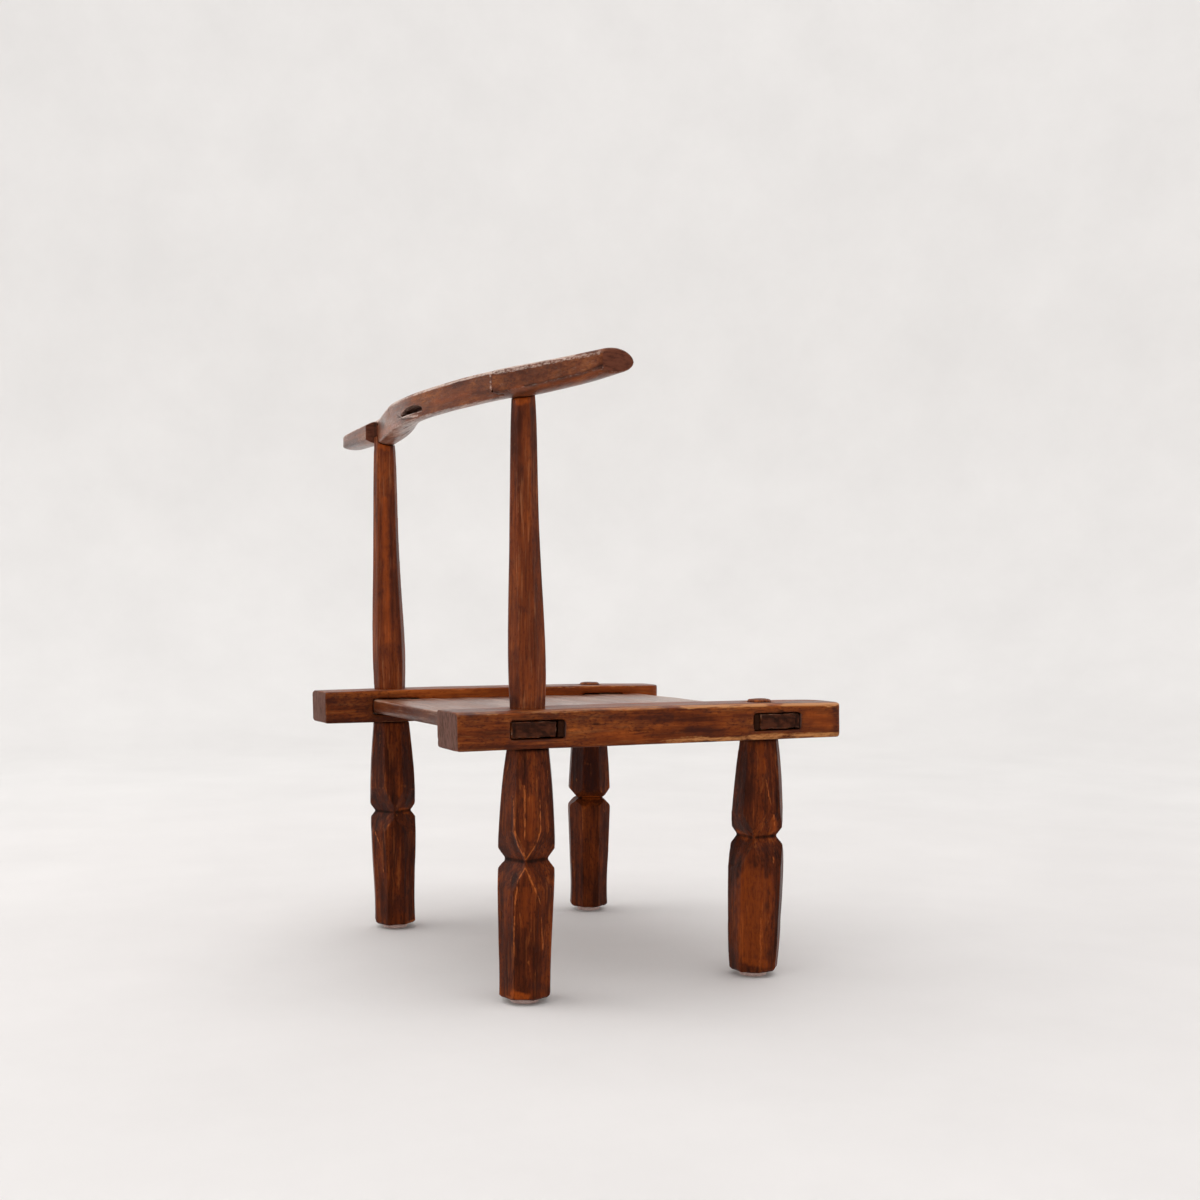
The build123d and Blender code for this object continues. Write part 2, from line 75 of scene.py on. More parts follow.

# Single marks of the tool and of use, and painted light and shade. places are pixels of that frame, and
# each mark lies where the camera's rays through them meet its piece. reach is in mm.
#   ridge               raised, rubbed arris     crack  narrow open split     dent  shallow hollow
#   smoke     dark patch of handling, and in places painted shade
#   amber               warm patch of bare wood, and in places painted warm bounce light
#   bare_and_highlight  pale rubbed patch, and in places a painted highlight
#   line                whole pale line: a rubbed arris with a painted highlight
Mark = namedtuple("Mark", "kind reach strength places")
MARKS = {
    "rear_right_leg": (
        Mark("ridge", 3.5, 1.0, ((513, 796), (514, 829), (519, 848), (525, 859))),
        Mark("ridge", 3.5, 1.0, ((540, 795), (541, 829), (537, 843), (525, 860))),
        Mark("ridge", 2.0, 0.8, ((525, 786), (525, 829), (524, 856))),
        Mark("ridge", 3.0, 0.9, ((525, 868), (518, 880), (515, 904), (514, 930))),
        Mark("ridge", 3.0, 0.9, ((525, 868), (534, 887), (541, 905), (543, 950))),
        Mark("ridge", 1.6, 0.5, ((531, 915), (530, 960))),
        Mark("ridge", 1.6, 0.5, ((548, 770), (549, 835))),
        Mark("crack", 1.8, 0.45, ((524, 754), (525, 770), (523, 784))),
        Mark("crack", 1.2, 0.5, ((518, 758), (517, 776))),
        Mark("crack", 1.6, 0.7, ((501, 912), (501, 918))),
        Mark("smoke", 9.0, 0.9, ((502, 780), (500, 840))),
        Mark("smoke", 8.0, 0.8, ((503, 885), (504, 985))),
        Mark("smoke", 8.0, 0.7, ((535, 985), (549, 990))),
        Mark("amber", 6.0, 0.8, ((512, 994), (526, 998))),
        Mark("amber", 6.0, 0.3, ((531, 800), (530, 838))),
        Mark("amber", 5.0, 0.3, ((526, 890), (524, 925))),
    ),
    "front_right_leg": (
        Mark("ridge", 3.0, 1.0, ((774, 815), (775, 829), (768, 838))),
        Mark("ridge", 3.0, 0.35, ((752, 840), (744, 852), (738, 866))),
        Mark("ridge", 3.0, 0.6, ((774, 850), (773, 868), (769, 894))),
        Mark("ridge", 1.8, 0.7, ((766, 780), (770, 800), (773, 812))),
        Mark("ridge", 1.6, 0.5, ((755, 862), (755, 892))),
        Mark("crack", 1.8, 0.9, ((751, 834), (753, 843))),
        Mark("smoke", 7.0, 0.8, ((745, 762), (744, 778))),
        Mark("smoke", 9.0, 0.7, ((757, 848), (771, 846))),
        Mark("smoke", 6.0, 0.7, ((734, 800), (736, 826))),
        Mark("smoke", 7.0, 0.6, ((779, 760), (782, 800))),
        Mark("amber", 6.0, 0.8, ((738, 832), (746, 838))),
        Mark("amber", 7.0, 0.35, ((760, 748), (762, 770))),
        Mark("amber", 6.0, 0.6, ((774, 820), (775, 829))),
        Mark("amber", 8.0, 0.5, ((745, 960), (765, 965))),
        Mark("amber", 30.0, 0.5, ((752, 885), (750, 905), (752, 945))),
    ),
    "rear_left_leg": (
        Mark("ridge", 3.0, 0.9, ((397, 806), (397, 815), (388, 826))),
        Mark("ridge", 3.0, 0.8, ((375, 832), (382, 850), (383, 872))),
        Mark("ridge", 2.0, 0.7, ((380, 735), (379, 795))),
        # Painted warm light on the leg's head and beside its notch.
        Mark("amber", 6.0, 0.9, ((376, 719), (397, 721))),
        Mark("amber", 5.0, 0.9, ((400, 810), (408, 811))),
        Mark("smoke", 7.0, 0.9, ((374, 806), (392, 808))),
        # Painted shade down the side turned from the light.
        Mark("smoke", 8.0, 0.8, ((404, 735), (405, 795))),
        Mark("smoke", 7.0, 0.7, ((404, 830), (405, 910))),
    ),
    "front_left_leg": (
        Mark("ridge", 3.0, 0.6, ((575.6, 750), (575.6, 777), (581, 793), (583.6, 799))),
        Mark("ridge", 3.0, 0.6, ((606, 750), (606, 778), (604, 787), (600, 793))),
        Mark("ridge", 2.5, 0.6, ((583.6, 799), (581, 806), (579, 812))),
        Mark("ridge", 2.5, 0.6, ((599, 799), (601, 806), (605, 812))),
        # Painted shade on the leg's upper middle, under the seat.
        Mark("smoke", 14.0, 1.0, ((590, 752), (590, 788))),
        Mark("smoke", 7.0, 0.6, ((585, 812), (584, 850))),
        # Painted warm bounce light at the waist.
        Mark("amber", 5.0, 1.0, ((584, 798), (598, 798))),
    ),
    "right_rail": (
        Mark("smoke", 16.0, 0.7, ((560, 718), (590, 720), (620, 719))),
        Mark("smoke", 11.0, 0.8, ((651, 716), (668, 718))),
        Mark("smoke", 9.0, 0.7, ((528, 746), (534, 744))),
        Mark("smoke", 12.0, 0.6, ((470, 722), (500, 718))),
        Mark("smoke", 10.0, 0.5, ((732, 722), (748, 720))),
        Mark("smoke", 7.0, 0.9, ((836, 706), (836, 734))),
        Mark("smoke", 10.0, 0.5, ((690, 732), (720, 734))),
        Mark("amber", 12.0, 0.3, ((810, 718), (830, 722))),
        Mark("amber", 9.0, 0.2, ((600, 736), (640, 737))),
        Mark("bare_and_highlight", 1.4, 0.7, ((532, 739.5), (558, 738.5))),
        Mark("bare_and_highlight", 1.2, 0.8, ((801.5, 714), (801.5, 727))),
        Mark("crack", 1.4, 0.9, ((590, 724), (600, 724))),
        Mark("crack", 1.2, 0.7, ((634, 731), (655, 730))),
        Mark("crack", 1.8, 1.0, ((779, 712), (784, 711))),
    ),
    "seat_plank": (
        Mark("crack", 2.4, 0.9, ((766.5, 717), (774, 717))),
        Mark("crack", 2.4, 0.9, ((782, 717), (794, 718.5))),
        Mark("crack", 3.0, 1.0, ((776, 719), (779.5, 718.5))),
        Mark("crack", 3.0, 1.0, ((797, 713), (797, 727))),
        Mark("crack", 3.0, 1.0, ((515, 725), (515, 737))),
        Mark("crack", 2.4, 0.9, ((518, 725), (545, 725))),
        Mark("crack", 2.2, 0.7, ((519, 729), (533, 730), (546, 728))),
        Mark("amber", 3.5, 0.35, ((518, 734), (526, 735))),
        Mark("amber", 2.0, 0.35, ((767, 720), (771, 719))),
    ),
    "left_rail": (
        Mark("smoke", 16.0, 0.8, ((332, 702), (372, 703))),
        Mark("smoke", 12.0, 0.7, ((360, 712), (372, 712))),
    ),
    "right_back_post": (
        # Painted warm bounce light and painted shade at the post's top, under the crest rail.
        Mark("amber", 7.0, 1.0, ((516, 399), (525, 400))),
        Mark("smoke", 6.0, 0.9, ((514, 392), (530, 390))),
        Mark("amber", 7.0, 1.0, ((518, 400), (527, 400))),
        Mark("bare_and_highlight", 4.0, 0.25, ((520, 400), (526, 400))),
        # A dark line round the post's foot: grime and a painted contact shadow.
        Mark("smoke", 10.0, 0.8, ((512, 701), (542, 701))),
        # Painted shade down the facet turned from the light, and a painted highlight along the ridge beside
        # it.
        Mark("smoke", 6.0, 0.6, ((533, 410), (535, 500), (537, 600))),
        Mark("bare_and_highlight", 2.6, 0.16, ((526, 405), (526, 470), (527, 560), (528, 640))),
        Mark("ridge", 1.6, 0.4, ((519, 480), (518, 520))),
        Mark("ridge", 1.6, 0.4, ((519, 590), (520, 640))),
    ),
    "left_back_post": (
        Mark("amber", 6.0, 0.8, ((381, 446), (388, 448))),
        Mark("smoke", 5.0, 0.7, ((375, 445), (376, 520))),
        Mark("amber", 7.0, 0.5, ((385, 500), (387, 640))),
    ),
    "crest_rail": (
        Mark("crack", 1.4, 0.9, ((524, 386), (546, 382), (564, 377))),
        Mark("crack", 1.1, 0.7, ((564, 377), (585, 371), (602, 365))),
        Mark("crack", 1.1, 0.7, ((554, 374), (570, 368), (588, 361.5))),
        Mark("smoke", 3.5, 0.8, ((530, 386), (560, 380), (590, 371))),
        # Pale lines along the top-back arris and the shoulder's edge: rubbed, with a painted highlight.
        Mark("line", 3.5, 0.45, ((493, 373.5), (518.5, 368.5), (563, 359.5), (598, 353))),
        Mark("line", 3.2, 0.4, ((489.5, 372), (490, 382), (490.5, 389), (493, 392.5))),
        Mark("crack", 2.0, 1.0, ((491, 391), (499, 396), (503, 395))),
        Mark("crack", 1.6, 0.8, ((497, 393), (507, 391))),
        Mark("smoke", 6.0, 0.9, ((494, 392), (508, 394))),
        Mark("smoke", 8.0, 0.8, ((506, 383), (512, 380))),
        Mark("smoke", 9.0, 0.6, ((484, 378), (478, 384))),
        Mark("smoke", 5.0, 0.7, ((452, 384), (454, 386))),
        Mark("smoke", 7.0, 0.5, ((548, 368), (560, 366))),
        Mark("amber", 5.0, 0.2, ((430, 404), (450, 398), (470, 394))),
        # Painted warm light bounced from below onto the undersides.
        Mark("amber", 5.0, 0.3, ((540, 386), (570, 381), (600, 372))),
        Mark("amber", 6.0, 0.3, ((512, 389), (524, 389))),
        Mark("amber", 5.0, 0.4, ((380, 436), (390, 428), (400, 423))),
        Mark("bare_and_highlight", 3.5, 0.5, ((399, 417.5), (409, 417), (417, 415.5))),
        Mark("crack", 1.4, 0.9, ((397, 416), (402, 419), (412, 418))),
        Mark("crack", 1.2, 0.8, ((402, 436), (410, 431), (420, 427))),
        Mark("crack", 1.2, 0.8, ((398, 438), (404, 440), (413, 434))),
        Mark("crack", 1.2, 0.7, ((404, 429), (414, 424))),
        Mark("smoke", 5.0, 0.8, ((376, 424), (378, 434))),
        Mark("crack", 1.2, 0.6, ((388, 408), (389, 415))),
        Mark("dent", 3.0, 0.5, ((355, 436), (361, 434))),
    ),
}


# ---------------------------------------------------------------- camera

def camera_axes():
    """The camera's right, up and ahead."""
    level = math.cos(CAMERA_PITCH)
    ahead = Vector((math.cos(CAMERA_YAW) * level, -math.sin(CAMERA_YAW) * level, math.sin(CAMERA_PITCH)))
    right = ahead.cross(Vector((0, 0, 1))).normalized()
    up = right.cross(ahead)
    cosine, sine = math.cos(CAMERA_ROLL), math.sin(CAMERA_ROLL)
    return right * cosine + up * sine, up * cosine - right * sine, ahead


def make_camera():
    """Stands at the sitter's right, a little behind, 10 cm above the rails' tops."""
    right, up, ahead = camera_axes()
    data = bpy.data.cameras.new("camera")
    data.sensor_width = SENSOR_WIDTH
    data.lens = FOCAL_PIXELS / FRAME_SIDE * SENSOR_WIDTH
    camera = bpy.data.objects.new("camera", data)
    camera.matrix_world = Matrix.Translation(CAMERA_PLACE) @ Matrix((right, up, -ahead)).transposed().to_4x4()
    bpy.context.scene.collection.objects.link(camera)
    bpy.context.scene.camera = camera


def on_surface(node, places):
    """Where the camera's rays through some pixels meet a CAD node, as rows of metres."""
    right, up, ahead = camera_axes()
    mesh = nodes[node].data
    tree = BVHTree.FromPolygons([v.co for v in mesh.vertices], [tuple(p.vertices) for p in mesh.polygons])
    hits = []
    for x, y in places:
        across, rise = (x - FRAME_SIDE / 2) / FOCAL_PIXELS, (FRAME_SIDE / 2 - y) / FOCAL_PIXELS
        hit = tree.ray_cast(CAMERA_PLACE, ahead + right * across + up * rise)[0]
        if hit is not None:
            hits.append(hit)
    return np.array(hits)


def distance_to_line(points, line):
    """How far each point is from a line through some places, in metres."""
    nearest = np.linalg.norm(points - line[0], axis=1)
    for start, end in zip(line, line[1:]):
        step = end - start
        share = np.clip((points - start) @ step / (step @ step), 0, 1)
        nearest = np.minimum(nearest, np.linalg.norm(points - start - share[:, None] * step, axis=1))
    return nearest


# ---------------------------------------------------------------- noise

# The random values repeat after this many lattice cells.
LATTICE_SIDE = 32
OCTAVES = 2


def lattice_noise(points, seed):
    """Smooth value noise from 0 to 1, one lattice cell per unit."""
    values = np.random.default_rng(seed).random((LATTICE_SIDE,) * 3)
    cell = np.floor(points).astype(int)
    part = points - cell
    part = part * part * (3 - 2 * part)
    total = np.zeros(len(points))
    for corner in np.ndindex(2, 2, 2):
        at = (cell + corner) % LATTICE_SIDE
        share = np.prod(np.where(corner, part, 1 - part), axis=1)
        total += share * values[at[:, 0], at[:, 1], at[:, 2]]
    return total


def noise(points, scale, seed):
    """Lattice noise from -1 to 1. scale is the size of its features, in metres along each axis."""
    total, weight, reach = 0.0, 1.0, 0.0
    scaled = points / np.array(scale)
    for octave in range(OCTAVES):
        total = total + weight * (2 * lattice_noise(scaled * 2 ** octave, seed + octave) - 1)
        reach += weight
        weight *= 0.5
    return total / reach


def ramp(values, low, high):
    """0 below low, 1 above high, smooth between them."""
    t = np.clip((values - low) / (high - low), 0, 1)
    return t * t * (3 - 2 * t)


def fade(values, low, high):
    """1 below low, 0 above high, smooth between them."""
    return ramp(-values, -high, -low)


def cells(points, scale, seed):
    """Distances to the nearest and the next of scattered points, one per cell of scale, in cells."""
    offsets = np.random.default_rng(seed).random((LATTICE_SIDE,) * 3 + (3,))
    scaled = points / scale
    home = np.floor(scaled).astype(int)
    nearest = np.full(len(points), np.inf)
    second = nearest.copy()
    for step in np.ndindex(3, 3, 3):
        cell = home + np.array(step) - 1
        at = cell % LATTICE_SIDE
        gap = np.linalg.norm(scaled - cell - offsets[at[:, 0], at[:, 1], at[:, 2]], axis=1)
        second = np.minimum(second, np.maximum(nearest, gap))
        nearest = np.minimum(nearest, gap)
    return nearest, second


# ---------------------------------------------------------------- dense copies of CAD solids

# Points of a CAD mesh that lie closer together than this are one.
WELD = 0.01 * MM
# Cosines between a face and the grain where end grain starts and is whole.
END_GRAIN = (0.75, 0.95)


def keep_largest_shell(mesh):
    """Deletes the loose slivers that voxels can leave inside a solid."""
    shell = bmesh.new()
    shell.from_mesh(mesh)
    unseen = set(shell.verts)
    groups = []
    while unseen:
        group = [unseen.pop()]
        for vert in group:
            for edge in vert.link_edges:
                other = edge.other_vert(vert)
                if other in unseen:
                    unseen.remove(other)
                    group.append(other)
        groups.append(group)
    groups.sort(key=len)
    for group in groups[:-1]:
        bmesh.ops.delete(shell, geom=group, context="VERTS")
    if len(groups) > 1:
        shell.to_mesh(mesh)
    shell.free()


def dense_copy(node, voxel):
    """A closed, evenly meshed copy of a CAD node."""
    name = node + "_wood"
    mesh = nodes[node].data.copy()
    shell = bmesh.new()
    shell.from_mesh(mesh)
    bmesh.ops.remove_doubles(shell, verts=shell.verts, dist=WELD)
    shell.to_mesh(mesh)
    shell.free()
    piece = bpy.data.objects.new(name, mesh)
    bpy.context.scene.collection.objects.link(piece)
    remesh = piece.modifiers.new("even", "REMESH")
    remesh.mode = "VOXEL"
    remesh.voxel_size = voxel
    evaluated = piece.evaluated_get(bpy.context.evaluated_depsgraph_get())
    even = bpy.data.meshes.new_from_object(evaluated)
    keep_largest_shell(even)
    piece.modifiers.clear()
    piece.data = even
    bpy.data.meshes.remove(mesh)
    even.name = name
    return piece


class Skin:
    """The vertices of a CAD node's dense copy, with what shaping and marking them needs."""

    def __init__(self, node, grain, voxel):
        self.node = node
        self.grain = grain
        self.piece = dense_copy(node, voxel)
        mesh = self.piece.data
        self.count = len(mesh.vertices)
        self.co = np.empty(self.count * 3)
        mesh.vertices.foreach_get("co", self.co)
        self.co = self.co.reshape(-1, 3)
        ends = np.empty(len(mesh.edges) * 2, int)
        mesh.edges.foreach_get("vertices", ends)
        self.a, self.b = ends.reshape(-1, 2).T
        self.degree = np.bincount(self.a, minlength=self.count) + np.bincount(self.b, minlength=self.count)
        self.wear, self.dirt, self.smoke, self.amber = np.zeros((4, self.count))
        self.write()

    def write(self):
        """Puts the positions on the mesh and reads its new normals."""
        self.piece.data.vertices.foreach_set("co", self.co.ravel())
        self.piece.data.update()
        self.normals = np.empty(self.count * 3)
        self.piece.data.vertex_normals.foreach_get("vector", self.normals)
        self.normals = self.normals.reshape(-1, 3)

    def relaxed(self, rounds, co=None):
        """Positions after some rounds of smoothing."""
        co = self.co if co is None else co
        for _ in range(rounds):
            total = np.empty_like(co)
            for k in range(3):
                ahead = np.bincount(self.a, co[self.b, k], self.count)
                behind = np.bincount(self.b, co[self.a, k], self.count)
                total[:, k] = (ahead + behind) / self.degree
            co = 0.5 * co + 0.5 * total
        return co

    def relief(self, rounds):
        """How far each vertex stands out of its smoothed surface, in metres: over 0 on an arris."""
        return np.einsum("ij,ij->i", self.co - self.relaxed(rounds), self.normals)

    def sink(self, depth):
        """Moves each vertex into the wood by its depth, in metres."""
        self.co -= self.normals * depth[:, None]
        self.write()

    def lay(self, layer, values):
        """Raises wear, dirt, smoke or amber to some values where they are higher."""
        setattr(self, layer, np.maximum(getattr(self, layer), values))

    def flow(self):
        """Positions turned so that the grain runs along Z."""
        order = {"x": (1, 2, 0), "y": (2, 0, 1), "z": (0, 1, 2)}[self.grain]
        return self.co[:, order]

    def end_grain(self):
        """1 on faces that cut across the grain."""
        return ramp(np.abs(self.normals[:, AXES[self.grain]]), *END_GRAIN)


# ---------------------------------------------------------------- wear

# How far a scoop reaches from its middle and how wide the ridges between scoops are, in scoops.
SCOOP_REACH = 0.9
SCOOP_RIDGE = 0.1
# Sizes of uneven wear, of chips and of slow waves in a face, in metres along each axis of flow.
UNEVEN_SIZE = (0.03, 0.03, 0.06)
CHIP_SIZE = (0.005, 0.005, 0.010)
WAVE_SIZE = (0.05, 0.05, 0.12)
WAVE_DEPTH = 0.4 * MM
# Depths below the smoothed surface where a hollow starts to hold dirt and is full of it.
HOLLOW = (0.08 * MM, 0.5 * MM)


def hew(skin, scale, depth, seed):
    """Shallow scoops of a blade, long in the grain. Gives 1 on the ridges between them."""
    nearest, second = cells(skin.flow(), np.array(scale) * MM, seed)
    skin.sink(depth * MM * (1 - np.clip(nearest / SCOOP_REACH, 0, 1) ** 2))
    return 1 - ramp(second - nearest, 0.0, SCOOP_RIDGE)


def wear_down(skin, seed, rounding, scoops, scoop_depth, chip, arris, patches, relief_rounds=20, keep=None):
    """Rounds the arrises unevenly, hews the faces and takes small chips off the arrises.

    rounding and relief_rounds count rounds of smoothing. scoops is a scoop's size along each axis of
    flow, and scoop_depth and chip are depths, all in mm. An arris is worn where it stands out by arris,
    in mm from none to full, and where unevenness, from 0 to 1, is within patches. keep is 1 where the
    arrises stay sharp, as where a piece stands on another.
    """
    grained = skin.flow()
    relief = skin.relief(relief_rounds)
    uneven = 0.5 + 0.5 * noise(grained, UNEVEN_SIZE, seed)
    skin.edge = ramp(relief, arris[0] * MM, arris[1] * MM)
    softened = skin.relaxed(rounding)
    more = skin.relaxed(rounding, softened)
    share = ramp(uneven, 0.4, 0.75)[:, None]
    softened = softened * (1 - share) + more * share
    if keep is not None:
        softened = softened * (1 - keep[:, None]) + skin.co * keep[:, None]
    skin.co = softened
    skin.write()
    skin.ridges = hew(skin, scoops, scoop_depth, seed + 7)
    bites = ramp(noise(grained, CHIP_SIZE, seed + 11), 0.3, 0.65)
    waves = 0.5 + 0.5 * noise(grained, WAVE_SIZE, seed + 19)
    skin.sink(chip * MM * bites * skin.edge * ramp(uneven, 0.3, 0.6) + WAVE_DEPTH * waves)
    skin.wear = skin.edge * ramp(uneven, *patches)
    skin.lay("dirt", ramp(-relief, *HOLLOW))


# ---------------------------------------------------------------- single marks

# What a mark does at a strength of 1, in metres. A ridge is pale only near its line.
RIDGE_HEIGHT = 0.5 * MM
RIDGE_CORE = 1.3 * MM
CRACK_DEPTH = 1.2 * MM
DENT_DEPTH = 1.0 * MM
# A mark fades in between these, where 0 is at its reach and 1 on its line.
MARK_FADE = (0.15, 0.7)
# The size of the ragged edge of a mark, in metres along each axis of flow.
RAGGED_SIZE = (0.003, 0.003, 0.006)
# Which layer a mark's ragged patch raises.
PATCH_LAYERS = {"smoke": "smoke", "amber": "amber", "bare_and_highlight": "wear", "crack": "dirt"}
# The share of its film of oil that end grain soaks up.
SOAKED = 0.8


def apply_marks(skin, seed):
    """Puts a piece's single marks on it."""
    ragged = noise(skin.flow(), RAGGED_SIZE, seed + 23)
    for mark in MARKS.get(skin.node, ()):
        line = on_surface(skin.node, mark.places)
        if not len(line):
            continue
        gap = distance_to_line(skin.co, line)
        near = np.clip(1 - gap / (mark.reach * MM), 0, 1)
        patch = mark.strength * ramp(near + 0.35 * ragged * (near > 0), *MARK_FADE)
        if mark.kind in PATCH_LAYERS:
            skin.lay(PATCH_LAYERS[mark.kind], patch)
        if mark.kind == "crack":
            skin.sink(CRACK_DEPTH * patch)
        elif mark.kind == "dent":
            skin.sink(mark.strength * DENT_DEPTH * near ** 2)
        elif mark.kind == "line":
            skin.lay("wear", mark.strength * ramp(near, *MARK_FADE))
        elif mark.kind == "ridge":
            core = mark.strength * ramp(1 - gap / RIDGE_CORE + 0.5 * ragged, 0.1, 0.6)
            skin.sink(-RIDGE_HEIGHT * mark.strength * near)
            skin.lay("wear", 0.75 * core)


def finish_piece(skin, material, seed, polish, ends=None):
    """Marks the piece, stores what its material reads and puts it in the place of its CAD node."""
    apply_marks(skin, seed)
    node, mesh = skin.node, skin.piece.data
    mesh.polygons.foreach_set("use_smooth", np.ones(len(mesh.polygons), bool))
    if ends is None:
        ends = skin.end_grain()
    layers = {"wear": skin.wear, "dirt": skin.dirt, "smoke": skin.smoke, "amber": skin.amber, "ends": ends,
              "polish": polish * (1 - SOAKED * ends)}
    for name, values in layers.items():
        layer = mesh.attributes.new(name, "FLOAT", "POINT")
        layer.data.foreach_set("value", values.astype(np.float32))
    layer = mesh.attributes.new("flow", "FLOAT_VECTOR", "POINT")
    layer.data.foreach_set("vector", skin.flow().astype(np.float32).ravel())
    mesh.materials.clear()
    mesh.materials.append(MATERIALS[material])
    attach(skin.piece, "root")
    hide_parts(node)


# ---------------------------------------------------------------- materials

class Graph:
    """Short calls for building a material's nodes."""

    def __init__(self, name):
        self.material = bpy.data.materials.new(name)
        self.material.use_nodes = True
        self.tree = self.material.node_tree
        self.tree.nodes.clear()

    def node(self, kind, **settings):
        made = self.tree.nodes.new(kind)
        for key, value in settings.items():
            setattr(made, key, value)
        return made

    def link(self, source, target):
        self.tree.links.new(source, target)

    def attribute(self, name):
        return self.node("ShaderNodeAttribute", attribute_name=name)

    def scaled(self, vector, scale, offset=(0, 0, 0)):
        mapping = self.node("ShaderNodeMapping")
        mapping.inputs["Scale"].default_value = scale
        mapping.inputs["Location"].default_value = offset
        self.link(vector, mapping.inputs["Vector"])
        return mapping.outputs["Vector"]

    def noise(self, vector, scale, detail, roughness=0.55, distortion=0.0):
        """Noise around 0.5. scale is how many features lie in a metre."""
        made = self.node("ShaderNodeTexNoise")
        made.inputs["Scale"].default_value = scale
        made.inputs["Detail"].default_value = detail
        made.inputs["Roughness"].default_value = roughness
        made.inputs["Distortion"].default_value = distortion
        self.link(vector, made.inputs["Vector"])
        return made.outputs["Fac"]

    def span(self, value, low, high, to_low=0.0, to_high=1.0):
        """Smooth from to_low where the value is low to to_high where it is high."""
        made = self.node("ShaderNodeMapRange", interpolation_type="SMOOTHSTEP")
        made.inputs["From Min"].default_value = low
        made.inputs["From Max"].default_value = high
        made.inputs["To Min"].default_value = to_low
        made.inputs["To Max"].default_value = to_high
        self.link(value, made.inputs["Value"])
        return made.outputs["Result"]

    def math(self, operation, first, second=0.0):
        made = self.node("ShaderNodeMath", operation=operation)
        for socket, value in zip(made.inputs, (first, second)):
            if isinstance(value, (int, float)):
                socket.default_value = value
            else:
                self.link(value, socket)
        return made.outputs["Value"]

    def times(self, first, second):
        return self.math("MULTIPLY", first, second)

    def weighted(self, first, weight, second, second_weight):
        """The sum of two values, each times its weight."""
        return self.math("ADD", self.times(first, weight), self.times(second, second_weight))

    def ramp(self, value, stops):
        """Colours by a value, from stops of a place and a screen colour."""
        made = self.node("ShaderNodeValToRGB")
        elements = made.color_ramp.elements
        while len(elements) < len(stops):
            elements.new(0.5)
        for element, (place, colour) in zip(elements, stops):
            element.position = place
            element.color = (*srgb(colour), 1)
        self.link(value, made.inputs["Fac"])
        return made.outputs["Color"]

    def mix(self, factor, first, second):
        """The first colour where factor is 0, the second where it is 1."""
        made = self.node("ShaderNodeMix", data_type="RGBA")
        for socket, value in ((made.inputs[0], factor), (made.inputs[6], first), (made.inputs[7], second)):
            if isinstance(value, tuple):
                socket.default_value = (*srgb(value), 1)
            else:
                self.link(value, socket)
        return made.outputs[2]

    def bump(self, height, distance, strength, normal=None):
        made = self.node("ShaderNodeBump")
        made.inputs["Distance"].default_value = distance
        made.inputs["Strength"].default_value = strength
        self.link(height, made.inputs["Height"])
        if normal is not None:
            self.link(normal, made.inputs["Normal"])
        return made.outputs["Normal"]

    def principled(self, colour, roughness, normal, specular=0.5, film=None, film_ior=None):
        """film is the share of a thin oil film, which shines only where it is seen at a low angle."""
        shader = self.node("ShaderNodeBsdfPrincipled")
        shader.inputs["Specular IOR Level"].default_value = specular
        self.link(colour, shader.inputs["Base Color"])
        self.link(roughness, shader.inputs["Roughness"])
        self.link(normal, shader.inputs["Normal"])
        if film is not None:
            shader.inputs["Coat IOR"].default_value = film_ior
            self.link(film, shader.inputs["Coat Weight"])
            self.link(roughness, shader.inputs["Coat Roughness"])
            self.link(normal, shader.inputs["Coat Normal"])
        output = self.node("ShaderNodeOutputMaterial")
        self.link(shader.outputs["BSDF"], output.inputs["Surface"])
        return self.material


def srgb(colour):
    """Linear red, green and blue of an 8-bit screen colour, by the sRGB standard's curve."""
    return tuple((c / 255 / 12.92) if c <= 10 else ((c / 255 + 0.055) / 1.055) ** 2.4 for c in colour)


# Screen colours of what lies on every wood: dark clouds, handled patches and painted shade; warm bare
# patches and painted warm light; grime and the painted shadow where a leg meets its rail; and the dark
# rings in its end grain.
SMOKE_AND_SHADE = (52, 24, 19)
AMBER = (176, 80, 20)
GRIME_AND_SHADOW = (17, 7, 4)
END_SHADE = (34, 17, 10)

